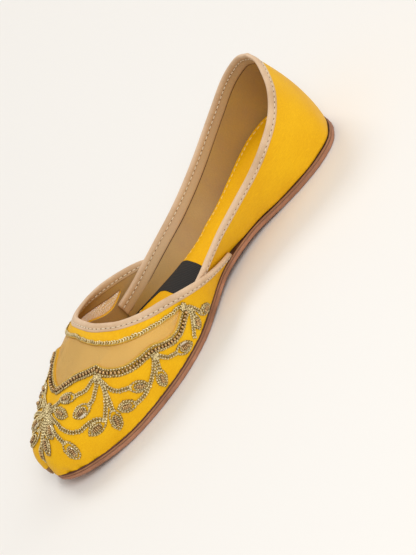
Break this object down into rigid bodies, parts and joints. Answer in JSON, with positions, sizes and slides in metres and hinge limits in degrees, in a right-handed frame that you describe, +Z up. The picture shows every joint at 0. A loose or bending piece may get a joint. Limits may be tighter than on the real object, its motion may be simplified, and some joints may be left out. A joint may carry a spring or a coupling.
{
  "type": "mojari shoe",
  "caption": "Flat slip-on shoe with a domed silk vamp, net window, beaded scallop, raised leaves, open instep and a thin leather sole.",
  "frame": {"origin": "on the ground, in the middle of the shoe's bounding box seen from above", "axes": "+Z up, the toe points to -Y and the heel to +Y, +X to one side; the shoe is the same on both sides of the plane X = 0"},
  "size_m": [0.0868, 0.2504, 0.0609],
  "materials": {
    "sole_leather": "matte",
    "silk": "satin",
    "footbed_silk": "satin",
    "binding_leather": "satin",
    "net": "matte",
    "metal_thread": "polished",
    "ribbon": "matte",
    "thread": "matte"
  },
  "bodies": {
    "root": {"outsole": "sole_leather", "insole": "footbed_silk", "vamp": "silk", "vamp_binding": "binding_leather", "quarter": "silk", "quarter_binding": "binding_leather", "vamp_net": "net", "scallop_border": "metal_thread", "insole_band": "ribbon", "toe_knot": "thread", "leaf_toe": "metal_thread", "leaf_toe_inner_right": "metal_thread", "leaf_toe_inner_left": "metal_thread", "leaf_toe_outer_right": "metal_thread", "leaf_toe_outer_left": "metal_thread", "leaf_side_low_right": "metal_thread", "leaf_side_low_left": "metal_thread", "leaf_wing_low_right": "metal_thread", "leaf_wing_low_left": "metal_thread", "leaf_wing_high_right": "metal_thread", "leaf_wing_high_left": "metal_thread", "leaf_under_peak_right": "metal_thread", "leaf_under_peak_left": "metal_thread", "leaf_side_front_right": "metal_thread", "leaf_side_front_left": "metal_thread", "leaf_side_drop_right": "metal_thread", "leaf_side_drop_left": "metal_thread", "leaf_side_middle_right": "metal_thread", "leaf_side_middle_left": "metal_thread", "leaf_under_valley_right": "metal_thread", "leaf_under_valley_left": "metal_thread", "leaf_ball_drop_right": "metal_thread", "leaf_ball_drop_left": "metal_thread", "leaf_ball_back_right": "metal_thread", "leaf_ball_back_left": "metal_thread", "leaf_corner_drop_right": "metal_thread", "leaf_corner_drop_left": "metal_thread", "leaf_corner_back_right": "metal_thread", "leaf_corner_back_left": "metal_thread"}
  },
  "joints": []
}
